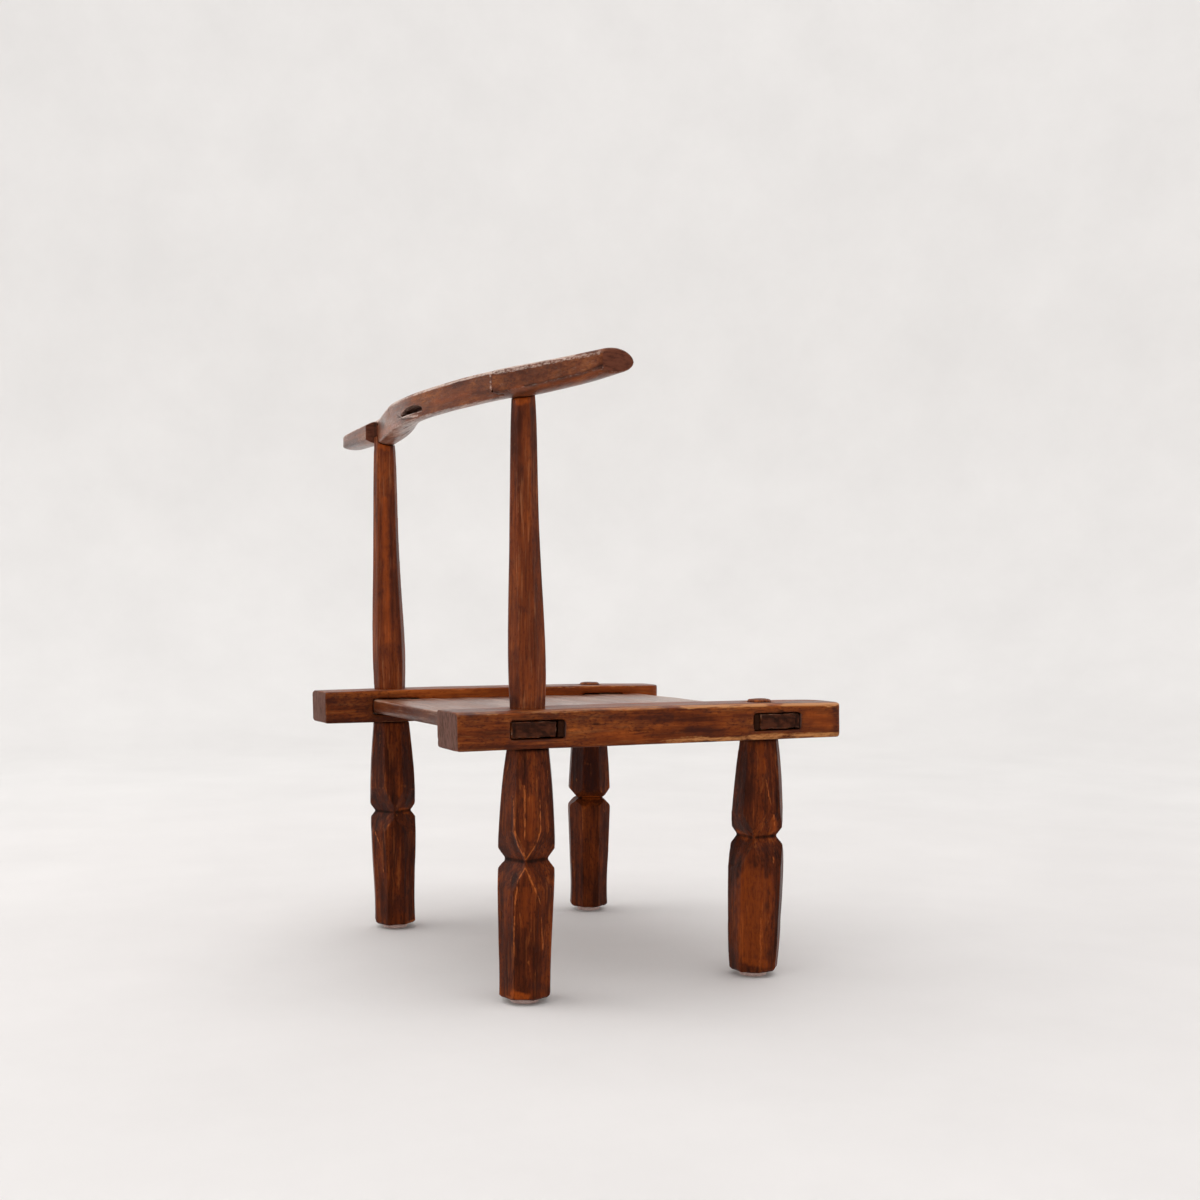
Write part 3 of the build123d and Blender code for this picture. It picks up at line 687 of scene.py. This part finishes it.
# Each wood: the offset of its noise, its screen colours, its roughness where smooth and where rough,
# and the strength of its pale streaks, dark pits and dark clouds. Its worn_and_sheen colour serves rubbed
# wood and painted sheen alike, and is pale and pinkish on the seat and the crest rail for that sheen.
WOODS = {
    "rail_wood": dict(
        offset=(0.3, 0.1, 0.7), dark=(66, 26, 10), middle=(126, 59, 20), light=(164, 86, 34),
        worn_and_sheen=(190, 128, 76), end=(110, 78, 68), streaks=0.15, pits=0.75, clouds=0.6),
    "seat_wood": dict(
        offset=(0.9, 0.5, 0.2), dark=(82, 38, 18), middle=(116, 60, 30), light=(140, 80, 42),
        worn_and_sheen=(184, 150, 130), end=(78, 40, 24), rough=(0.28, 0.42), streaks=0.35, clouds=0.4,
        film_ior=1.26),
    "leg_wood": dict(
        offset=(0.2, 0.8, 0.4), dark=(44, 15, 5), middle=(92, 38, 12), light=(132, 60, 20),
        worn_and_sheen=(176, 94, 42), end=(62, 30, 16), streaks=0.28, pits=0.75, specular=0.04),
    "post_wood": dict(
        offset=(0.6, 0.2, 0.9), dark=(66, 26, 9), middle=(112, 50, 20), light=(138, 66, 26),
        worn_and_sheen=(186, 120, 78), end=(60, 34, 22), rough=(0.3, 0.5), streaks=0.3, clouds=0.45),
    "crest_wood": dict(
        offset=(0.4, 0.7, 0.1), dark=(72, 34, 17), middle=(118, 62, 33), light=(148, 86, 46),
        worn_and_sheen=(206, 182, 170), end=(106, 60, 44), rough=(0.3, 0.5), streaks=0.06, film_ior=1.3),
    "wedge_wood": dict(
        offset=(0.1, 0.3, 0.5), dark=(28, 13, 7), middle=(58, 28, 15), light=(78, 39, 22),
        worn_and_sheen=(96, 56, 32), end=(48, 25, 14), specular=0.03),
}


def wood(name, offset, dark, middle, light, worn_and_sheen, end, rough=(0.36, 0.6), streaks=0.5, pits=0.6,
         clouds=0.5, specular=0.06, film_ior=1.22):
    """Oiled, handled hardwood: fibres along Z of flow, clouds, hair cracks, rubbed arrises and end grain,
    with the painted shade, sheen and warm light that its attributes carry.
    """
    g = Graph(name)
    wear, dirt, smoke, amber, ends, polish = (
        g.attribute(layer).outputs["Fac"] for layer in ("wear", "dirt", "smoke", "amber", "ends", "polish"))
    flow = g.scaled(g.attribute("flow").outputs["Vector"], (1, 1, 1), offset)

    def grained(squeeze, scale, detail, roughness=0.6, distortion=0.0, shift=(0, 0, 0)):
        """Noise drawn out along the grain, where its scale is squeeze times that across."""
        return g.noise(g.scaled(flow, (1, 1, squeeze), shift), scale, detail, roughness, distortion)

    # Figure of the wood
    fibres = grained(0.05, 420, 5)
    bands = grained(0.07, 110, 4, distortion=0.3)
    blotches = grained(0.4, 30, 4)
    speckle = grained(0.35, 520, 4, 0.7, shift=(3, 1, 2))
    pores = g.span(grained(0.06, 900, 2, 0.5), 0.62, 0.72)
    base = g.ramp(g.weighted(bands, 0.5, blotches, 0.5), ((0.38, dark), (0.5, middle), (0.62, light)))
    base = g.mix(g.span(fibres, 0.3, 0.6, 0.6, 0.0), base, dark)
    base = g.mix(g.span(speckle, 0.5, 0.66, 0.0, pits), base, dark)
    haze = grained(0.5, 44, 5, 0.65, 0.4, (5, 2, 8))
    base = g.mix(g.span(haze, 0.52, 0.68, 0.0, clouds), base, SMOKE_AND_SHADE)
    hair = grained(0.05, 330, 3, 0.6, 0.4, (7, 5, 1))
    pale_hair = g.times(g.span(hair, 0.54, 0.66, 0.0, streaks), g.span(blotches, 0.4, 0.55))
    base = g.mix(pale_hair, base, worn_and_sheen)
    # Handling and rubbing, with painted shade, painted warm light and painted sheen
    patchy = g.span(speckle, 0.35, 0.6, 0.5, 1.0)
    base = g.mix(g.times(g.times(smoke, patchy), 0.75), base, SMOKE_AND_SHADE)
    base = g.mix(g.times(g.times(amber, patchy), 0.8), base, AMBER)
    ragged = g.span(g.weighted(fibres, 0.5, speckle, 0.5), 0.4, 0.6)
    base = g.mix(g.span(g.weighted(wear, 1.2, ragged, 0.4), 0.45, 1.2), base, worn_and_sheen)
    # Hair cracks where a slow noise crosses its middle, end grain, and dirt with the painted shadow where a
    # leg meets its rail
    crossing = g.math("SUBTRACT", grained(0.03, 75, 2, 0.4, shift=(2, 9, 4)), 0.5)
    cracks = g.times(g.span(g.math("ABSOLUTE", crossing), 0.0, 0.007, 0.8, 0.0), g.span(haze, 0.45, 0.6))
    base = g.mix(g.math("MAXIMUM", g.times(pores, 0.4), cracks), base, dark)
    rings = g.noise(g.scaled(flow, (0.35, 1, 0.3)), 330, 5, 0.6)
    base = g.mix(ends, base, g.mix(g.span(rings, 0.3, 0.6, 0.45, 1.0), END_SHADE, end))
    base = g.mix(g.times(dirt, g.span(bands, 0.25, 0.6, 0.97, 0.75)), base, GRIME_AND_SHADOW)
    # Gloss and relief
    dull = g.times(g.math("MAXIMUM", dirt, ends), 0.25)
    roughness = g.math("ADD", g.span(g.weighted(blotches, 0.6, fibres, 0.4), 0.3, 0.7, *rough), dull)
    relief = g.math("SUBTRACT", g.times(fibres, 0.6), g.math("MAXIMUM", pores, cracks))
    normal = g.bump(relief, 0.35 * MM, 0.8)
    ridged = g.math("ADD", bands, g.times(g.times(ends, rings), 0.6))
    normal = g.bump(ridged, 0.8 * MM, 0.6, normal)
    return g.principled(base, roughness, normal, specular, polish, film_ior)


def glide_material():
    """Cloudy, slightly pink plastic with scuffs."""
    g = Graph("glide_pad")
    place = g.node("ShaderNodeTexCoord").outputs["Object"]
    clouds = g.noise(place, 160, 4)
    scuffs = g.noise(place, 900, 3)
    colour = g.ramp(clouds, ((0.35, (208, 170, 160)), (0.65, (238, 210, 202))))
    colour = g.mix(g.span(scuffs, 0.55, 0.7, 0.0, 0.4), colour, (120, 92, 84))
    return g.principled(colour, g.span(scuffs, 0.3, 0.7, 0.3, 0.5), g.bump(scuffs, 0.1 * MM, 0.5))


MATERIALS = {name: wood(name, **look) for name, look in WOODS.items()}


# ---------------------------------------------------------------- the chair

# Each piece draws its wear and marks from seeds of its own.
SEAT_SEED = 21
CREST_SEED = 51
RAIL_SEED = 101
POST_SEED = 201
LEG_SEED = 301

# How far below the near rail's top its pale bevel starts and is full.
BEVEL_DEPTHS = (0.016, 0.008)
# The mean height of the pale strip along the near rail's lower outer edge.
LOWER_STRIP = 0.0065
# How far below the far rail's top its strip of painted shade above the seat, a deep warm orange, starts and
# is full.
WARM_DEPTHS = (0.018, 0.012)
# How far from a mortise's rim the broken wood and the dark patch round it are full and end, and how far
# in from a rail's inner and outer faces they are.
MOUTH_REACH = (0.0005, 0.006)
SMOKE_REACH = (0.001, 0.008)
FACE_REACH = (0.001, 0.02)
MOUTH_DEPTH = 0.35 * MM

# How far in from the seat's ends the torn ends of its tenons are full and end.
TORN_REACH = (0.006, 0.012)
TORN_DEPTH = 1.0 * MM

# How much painted shade darkens each leg above its notch; the far front leg stands in the seat's shadow.
LEG_SHADE = {"rear_right_leg": 0.5, "front_right_leg": 0.0, "rear_left_leg": 0.1, "front_left_leg": 0.9}
# The far front leg's notch is cut steeper than the others: heights from its waist, as they are in the
# CAD solid and as they are here.
NOTCH_HEIGHT = 0.145
NOTCH_FROM = (-0.200, -0.080, -0.021, 0.0, 0.026, 0.080, 0.200)
NOTCH_TO = (-0.200, -0.080, -0.009, 0.0, 0.012, 0.080, 0.200)
# The near front leg's calf is straighter than its CAD solid: widths there, as shares, by height. It is
# slimmed slice by slice.
CALF_HEIGHTS = (0.0, 0.018, 0.059, 0.094, 0.132)
CALF_WIDTHS = (0.97, 0.95, 0.92, 0.955, 1.0)
CALF_SLICE = 2 * MM

# How far a post's foot reaches into its rail, whose top falls away a little towards its ends.
POST_SEATING = 0.0025

# The crest rail's top is found slice by slice. Its pale rim, a rubbed arris with a painted highlight, is
# full and ends at these depths below the top, and starts and is full at these distances from the near tip.
CREST_SLICE = 4 * MM
RIM_DEPTHS = (0.003, 0.0045)
TIP_REACH = (0.025, 0.035)


def break_mouths(skin, low, high, side, seed):
    """Breaks and darkens the rims of a rail's two mortises. low and high are the rail's corners."""
    x, y, z = skin.co.T
    for end in ("front", "rear"):
        wedge_low, wedge_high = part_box(f"{end}_{side}_wedge")
        first, last = wedge_low.y, wedge_low.y + MORTISE_LENGTH
        if end == "front":
            first, last = wedge_high.y - MORTISE_LENGTH, wedge_high.y
        away = np.maximum(np.maximum(first - y, y - last), np.maximum(wedge_low.z - z, z - wedge_high.z))
        face = fade(np.minimum(x - low.x, high.x - x), *FACE_REACH)
        mouth = fade(away, *MOUTH_REACH) * face
        skin.wear *= 1 - mouth
        broken = ramp(noise(skin.flow(), scale=(0.0045, 0.0045, 0.007), seed=seed + 5), -0.2, 0.5)
        skin.sink(MOUTH_DEPTH * mouth * broken)
        skin.lay("dirt", 0.6 * fade(away, -0.0005, 0.0001 + 0.0007 * broken) * face)
        skin.lay("smoke", 0.6 * fade(away, *SMOKE_REACH) * face)


def make_rail(name, seed):
    skin = Skin(name, "y", voxel=1.3 * MM)
    wear_down(skin, seed, rounding=4, scoops=(26, 26, 90), scoop_depth=0.35, chip=0.9,
              arris=(0.2, 0.7), patches=(0.3, 0.6))
    low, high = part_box(name)
    _, y, z = skin.co.T
    near = name == "right_rail"
    outward = skin.normals[:, 0] * (-1 if near else 1)
    upward = skin.normals[:, 2]
    rough = noise(skin.flow(), scale=(0.006, 0.006, 0.02), seed=seed + 3)
    forward = fade(y, -0.1, 0.06)
    skin.wear *= 0.25
    if near:
        deep, full = (high.z - depth for depth in BEVEL_DEPTHS)
        bevel = ramp(upward, 0.15, 0.45) * ramp(outward, 0.1, 0.35) * ramp(z, deep, full)
        lower = ramp(outward, 0.3, 0.7) * ramp(low.z + LOWER_STRIP + 0.003 * rough - z, -0.001, 0.0015)
        skin.lay("wear", bevel * (0.45 + 0.45 * forward) * ramp(rough, -0.7, 0.1))
        skin.lay("wear", 0.6 * lower * fade(y, -0.08, 0.09) * ramp(rough, -0.6, 0.2))
        skin.lay("smoke", 0.7 * lower * ramp(y, 0.06, 0.1))
    else:
        deep, full = (high.z - depth for depth in WARM_DEPTHS)
        above_seat = ramp(z, deep, full) * fade(y, 0.11, 0.15)
        skin.lay("wear", 0.5 * skin.edge * forward * ramp(rough, -0.2, 0.4))
        # Painted shade: the far rail's inner face above the seat is darkened to a deep warm orange.
        skin.lay("amber", 0.45 * ramp(-outward, 0.5, 0.8) * above_seat)
    smudges = ramp(noise(skin.flow(), scale=(0.018, 0.018, 0.045), seed=seed + 31), 0.0, 0.45)
    skin.lay("smoke", (0.6 if near else 0.8) * smudges * ramp(np.abs(outward), 0.3, 0.7))
    break_mouths(skin, low, high, name.split("_")[0], seed)
    finish_piece(skin, "rail_wood", seed, polish=0.15 + 0.85 * ramp(upward, 0.3, 0.8))


def make_seat():
    skin = Skin("seat_plank", "x", voxel=1.6 * MM)
    wear_down(skin, SEAT_SEED, rounding=3, scoops=(30, 30, 80), scoop_depth=0.4, chip=0.5,
              arris=(0.25, 0.8), patches=(0.4, 0.7))
    low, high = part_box("seat_plank")
    skin.wear *= 0.4
    x = skin.co[:, 0]
    tenon = fade(np.minimum(x - low.x, high.x - x), *TORN_REACH)
    splintered = noise(skin.flow(), scale=(0.0045, 0.0035, 0.004), seed=SEAT_SEED + 8)
    skin.sink(TORN_DEPTH * tenon * ramp(splintered, -0.5, 0.5))
    torn = ramp(splintered, -0.15, 0.35)
    skin.lay("dirt", 0.75 * tenon * torn)
    chips = ramp(noise(skin.flow(), scale=(0.003, 0.0025, 0.003), seed=SEAT_SEED + 10), 0.15, 0.5)
    skin.lay("wear", 0.55 * tenon * chips * (1 - torn))
    # Upward faces are lightened, partly rubbed and partly a painted sheen; the other faces, save the tenons,
    # get painted shade.
    upward = ramp(skin.normals[:, 2], 0.3, 0.8)
    streaky = ramp(noise(skin.flow(), scale=(0.012, 0.012, 0.09), seed=SEAT_SEED + 6), -0.4, 0.5)
    skin.lay("wear", upward * (0.25 + 0.27 * streaky))
    skin.lay("smoke", 0.6 * (1 - upward) * (1 - tenon))
    finish_piece(skin, "seat_wood", SEAT_SEED, polish=0.25 + 0.75 * upward)


def slim_calf(skin):
    """Draws the near front leg's calf in towards its own middle line."""
    slices = np.round(skin.co[:, 2] / CALF_SLICE).astype(int)
    count = np.maximum(np.bincount(slices), 1)
    share = np.interp(skin.co[:, 2], CALF_HEIGHTS, CALF_WIDTHS)
    for axis in (0, 1):
        middles = np.bincount(slices, skin.co[:, axis]) / count
        middle = np.interp(skin.co[:, 2], CALF_SLICE * np.arange(len(middles)), middles)
        skin.co[:, axis] = middle + share * (skin.co[:, axis] - middle)
    skin.write()


def make_leg(name, seed):
    skin = Skin(name, "z", voxel=1.0 * MM)
    if name == "front_right_leg":
        slim_calf(skin)
    if name == "front_left_leg":
        skin.co[:, 2] = NOTCH_HEIGHT + np.interp(skin.co[:, 2] - NOTCH_HEIGHT, NOTCH_FROM, NOTCH_TO)
        skin.write()
    wear_down(skin, seed, rounding=2, scoops=(13, 13, 70), scoop_depth=0.6, chip=0.5,
              arris=(0.05, 0.3), patches=(0.5, 0.8), relief_rounds=24)
    z = skin.co[:, 2]
    broken = ramp(noise(skin.flow(), scale=(0.008, 0.008, 0.03), seed=seed + 3), 0.0, 0.5)
    skin.wear = np.maximum(0.45 * skin.wear, 0.4 * skin.ridges * broken)
    # Painted shade above the notch, darkest on the far front leg under the seat.
    skin.lay("smoke", LEG_SHADE[name] * ramp(z, 0.14, 0.2))
    top = ramp(z, RAIL_TOP - 0.002, RAIL_TOP)
    # Painted shadow: a dark band on the leg from just below the rail's underside up into the joint.
    joint_shadow = ramp(z, RAIL_UNDERSIDE - 0.004, RAIL_UNDERSIDE - 0.001) * (1 - top)
    skin.lay("dirt", 0.85 * joint_shadow)
    # The tenon's top above the rail is lightened, partly rubbed and partly a painted sheen.
    skin.lay("wear", 0.45 * top)
    sheen = 0.2 + 0.35 * ramp(np.abs(skin.normals[:, 1]), 0.5, 0.9)
    ends = skin.end_grain() * (1 - 0.6 * top)
    finish_piece(skin, "leg_wood", seed, polish=np.maximum(sheen, top), ends=ends)


def make_post(name, seed):
    skin = Skin(name, "z", voxel=1.1 * MM)
    foot = 1 - ramp(skin.co[:, 2], RAIL_TOP + 0.005, RAIL_TOP + 0.012)
    wear_down(skin, seed, rounding=3, scoops=(12, 12, 110), scoop_depth=0.3, chip=0.2,
              arris=(0.05, 0.3), patches=(0.5, 0.8), keep=foot)
    skin.co[:, 2] -= POST_SEATING * (1 - ramp(skin.co[:, 2], RAIL_TOP + 0.001, RAIL_TOP + 0.01))
    skin.write()
    skin.wear = np.maximum(0.3 * skin.wear, 0.2 * skin.ridges)
    finish_piece(skin, "post_wood", seed, polish=0.35)


def make_crest():
    skin = Skin("crest_rail", "x", voxel=0.95 * MM)
    wear_down(skin, CREST_SEED, rounding=3, scoops=(18, 18, 70), scoop_depth=0.4, chip=0.8,
              arris=(0.15, 0.6), patches=(0.2, 0.5))
    x, _, z = skin.co.T
    upward, backward = skin.normals[:, 2], skin.normals[:, 1]
    rough = noise(skin.flow(), scale=(0.006, 0.006, 0.03), seed=CREST_SEED + 3)
    slices = np.round((x - x.min()) / CREST_SLICE).astype(int)
    tops = np.zeros(slices.max() + 1)
    np.maximum.at(tops, slices, z)
    drop = np.interp(x, x.min() + CREST_SLICE * np.arange(len(tops)), tops) - z
    # The pale rim along the top-back arris is rubbed wood with a painted highlight.
    turned = ramp(upward, 0.05, 0.35) * (1 - ramp(upward, 0.9, 1.0))
    rim = np.maximum(turned, fade(drop, *RIM_DEPTHS)) * ramp(backward, 0.0, 0.25)
    rim *= ramp(x - x.min(), *TIP_REACH)
    # A painted pale reflection on the underside towards the middle, and a painted sheen over the far half.
    below = ramp(-upward, 0.35, 0.75)
    far_half = ramp(x, -0.03, 0.05)
    pale = 0.45 * below * fade(x, 0.1, 0.2) * (1 - fade(x, -0.2, -0.17))
    skin.wear = np.maximum(0.35 * skin.wear, rim * (0.42 + 0.3 * ramp(rough, -0.6, 0.1)))
    skin.lay("wear", np.maximum(pale, 0.3 * far_half) * ramp(rough, -1.0, 0.2))
    finish_piece(skin, "crest_wood", CREST_SEED, polish=0.3 + 0.7 * np.maximum(far_half, below))


def make_wedge(name, seed):
    skin = Skin(name, "x", voxel=0.7 * MM)
    wear_down(skin, seed, rounding=2, scoops=(5, 5, 12), scoop_depth=0.5, chip=0.5,
              arris=(0.12, 0.5), patches=(0.4, 0.7))
    skin.wear *= 0.3
    finish_piece(skin, "wedge_wood", seed, polish=0.1)


def make_chair():
    make_seat()
    make_crest()
    for count, side in enumerate(("right", "left")):
        make_rail(f"{side}_rail", RAIL_SEED + 10 * count)
        make_post(f"{side}_back_post", POST_SEED + 10 * count)
        for further, end in enumerate(("front", "rear")):
            seed = LEG_SEED + 40 * count + 20 * further
            make_leg(f"{end}_{side}_leg", seed)
            make_wedge(f"{end}_{side}_wedge", seed + 7)
    glide = glide_material()
    for name, node in nodes.items():
        if name.endswith("_glide"):
            node.data.materials.clear()
            node.data.materials.append(glide)


# ---------------------------------------------------------------- room and lamps

# The room, in metres: its floor is flat up to a cove, which turns up into its wall.
ROOM_RADIUS = 3.6
COVE_RADIUS = 1.2
WALL_TOP = 3.4
COVE_STEPS = 12
ROOM_SIDES = 96
# Distances from the middle where the floor's colour starts to change to the walls' and is theirs.
WALL_COLOUR_REACH = (0.8, 2.2)

WORLD_COLOUR = (1.0, 0.985, 0.98, 1)
WORLD_STRENGTH = 1.1
LAMP_COLOUR = (1.0, 0.985, 0.96)
# Square lamps: metres and watts.
Lamp = namedtuple("Lamp", "name place target size power")
LAMPS = (
    Lamp("window", (0.9, 2.3, 2.0), (0, 0, 0.25), 2.2, 17),
    Lamp("ceiling", (-0.5, 0.4, 3.0), (0, 0, 0.2), 2.6, 7),
)


def room_mesh():
    """A disc that turns up into a wall on every side."""
    flat = ROOM_RADIUS - COVE_RADIUS
    profile = [(0.0, 0.0), (0.6, 0.0), (1.4, 0.0), (flat, 0.0)]
    for step in range(1, COVE_STEPS + 1):
        angle = math.pi / 2 * step / COVE_STEPS
        profile.append((flat + COVE_RADIUS * math.sin(angle), COVE_RADIUS - COVE_RADIUS * math.cos(angle)))
    profile.append((ROOM_RADIUS, WALL_TOP))
    angles = [2 * math.pi * k / ROOM_SIDES for k in range(ROOM_SIDES)]
    shell = bmesh.new()
    rings = []
    for r, z in profile:
        if r == 0:
            rings.append([shell.verts.new((0, 0, z))] * ROOM_SIDES)
        else:
            rings.append([shell.verts.new((r * math.cos(a), r * math.sin(a), z)) for a in angles])
    for inner, outer in zip(rings, rings[1:]):
        for k in range(ROOM_SIDES):
            after = (k + 1) % ROOM_SIDES
            # The middle's corners are one vertex, and a face names it once.
            shell.faces.new(dict.fromkeys([inner[k], outer[k], outer[after], inner[after]]))
    mesh = bpy.data.meshes.new("studio_floor")
    shell.to_mesh(mesh)
    shell.free()
    mesh.polygons.foreach_set("use_smooth", [True] * len(mesh.polygons))
    return mesh


def make_stage():
    """A round pale floor that turns up into a far wall on every side."""
    mesh = room_mesh()
    floor = bpy.data.objects.new("studio_floor", mesh)
    bpy.context.scene.collection.objects.link(floor)
    g = Graph("studio_floor")
    place = g.node("ShaderNodeTexCoord").outputs["Object"]
    mottle = g.noise(place, 3.0, 5, 0.6)
    colour = g.ramp(mottle, ((0.3, (229, 227, 226)), (0.7, (235, 233, 232))))
    walls = g.ramp(mottle, ((0.3, (235, 234, 233)), (0.7, (241, 240, 239))))
    reach = g.node("ShaderNodeVectorMath", operation="LENGTH")
    g.link(place, reach.inputs[0])
    colour = g.mix(g.span(reach.outputs["Value"], *WALL_COLOUR_REACH), colour, walls)
    roughness = g.span(mottle, 0.3, 0.7, 0.75, 0.85)
    normal = g.bump(g.noise(place, 60, 4), 0.4 * MM, 0.3)
    mesh.materials.append(g.principled(colour, roughness, normal, specular=0.2))


def make_lights():
    """Soft, even light from the whole room, with a large window behind and a ceiling lamp above."""
    world = bpy.data.worlds.new("room")
    world.use_nodes = True
    background = world.node_tree.nodes["Background"]
    background.inputs["Color"].default_value = WORLD_COLOUR
    background.inputs["Strength"].default_value = WORLD_STRENGTH
    bpy.context.scene.world = world
    for name, place, target, size, power in LAMPS:
        lamp = bpy.data.lights.new(name, "AREA")
        lamp.shape = "SQUARE"
        lamp.size = size
        lamp.energy = power
        lamp.color = LAMP_COLOUR
        holder = bpy.data.objects.new(name, lamp)
        holder.location = place
        holder.rotation_euler = (Vector(target) - Vector(place)).to_track_quat("-Z", "Y").to_euler()
        bpy.context.scene.collection.objects.link(holder)


make_camera()
make_chair()
make_stage()
make_lights()
bpy.context.scene.view_settings.view_transform = "Standard"
